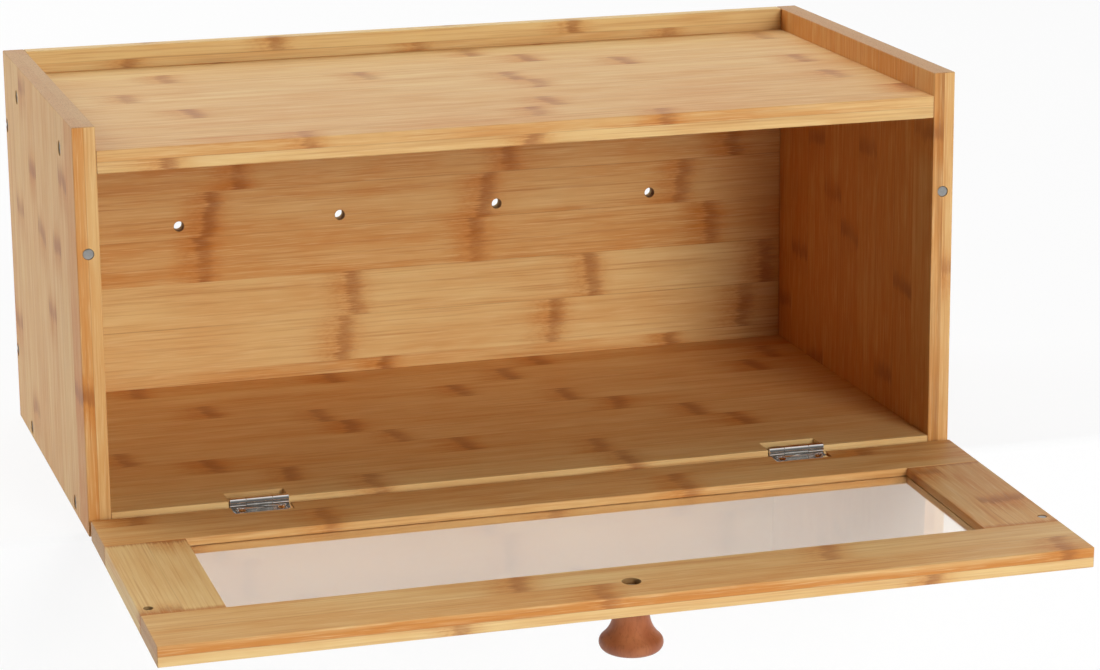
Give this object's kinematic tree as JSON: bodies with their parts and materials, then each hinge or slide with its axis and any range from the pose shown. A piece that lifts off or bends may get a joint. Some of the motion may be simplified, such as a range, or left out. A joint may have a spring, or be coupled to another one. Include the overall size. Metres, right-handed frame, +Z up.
{
  "type": "bread box",
  "caption": "Bamboo bread box with a drop-down front door that has a clear window and a turned knob, and a shelf with a low gallery on top.",
  "frame": {"origin": "centre of the base, on the surface that the case stands on", "axes": "+Z up, -Y to the front where the door opens, +X to the right seen from the front"},
  "size_m": [0.4, 0.362, 0.2057],
  "materials": {
    "bamboo_case": "laminated bamboo, clear satin lacquer",
    "bamboo_door": "laminated bamboo, clear satin lacquer",
    "dowel_wood": "plain beech, hidden in the joints",
    "clear_acrylic": "clear acrylic sheet, polished faces",
    "stained_knob": "turned wood, reddish-brown stain, satin lacquer",
    "zinc_screws": "zinc-plated steel",
    "nickel_hinge": "bright nickel-plated steel",
    "nickel_magnet": "nickel-plated magnet"
  },
  "bodies": {
    "case": {"left_side_panel": "bamboo_case", "right_side_panel": "bamboo_case", "back_panel": "bamboo_case", "top_shelf": "bamboo_case", "bottom_panel": "bamboo_case", "left_panel_screws": "zinc_screws", "right_panel_screws": "zinc_screws", "left_case_magnet": "nickel_magnet", "right_case_magnet": "nickel_magnet", "left_hinge_case_leaf": "nickel_hinge", "left_hinge_pin": "nickel_hinge", "left_hinge_case_screws": "nickel_hinge", "right_hinge_case_leaf": "nickel_hinge", "right_hinge_pin": "nickel_hinge", "right_hinge_case_screws": "nickel_hinge"},
    "door": {"door_hinge_rail": "bamboo_door", "door_pull_rail": "bamboo_door", "door_left_stile": "bamboo_door", "door_right_stile": "bamboo_door", "door_corner_dowels": "dowel_wood", "door_window": "clear_acrylic", "door_knob": "stained_knob", "door_knob_screw": "zinc_screws", "left_door_magnet": "nickel_magnet", "right_door_magnet": "nickel_magnet", "left_hinge_door_leaf": "nickel_hinge", "left_hinge_door_screws": "nickel_hinge", "right_hinge_door_leaf": "nickel_hinge", "right_hinge_door_screws": "nickel_hinge"}
  },
  "joints": [
    {"name": "door_hinge", "type": "hinge", "parent": "case", "child": "door", "pos_m": [0, -0.1016, 0.0092], "axis": [-1, 0, 0], "range_deg": [-17, 91.75]}
  ]
}
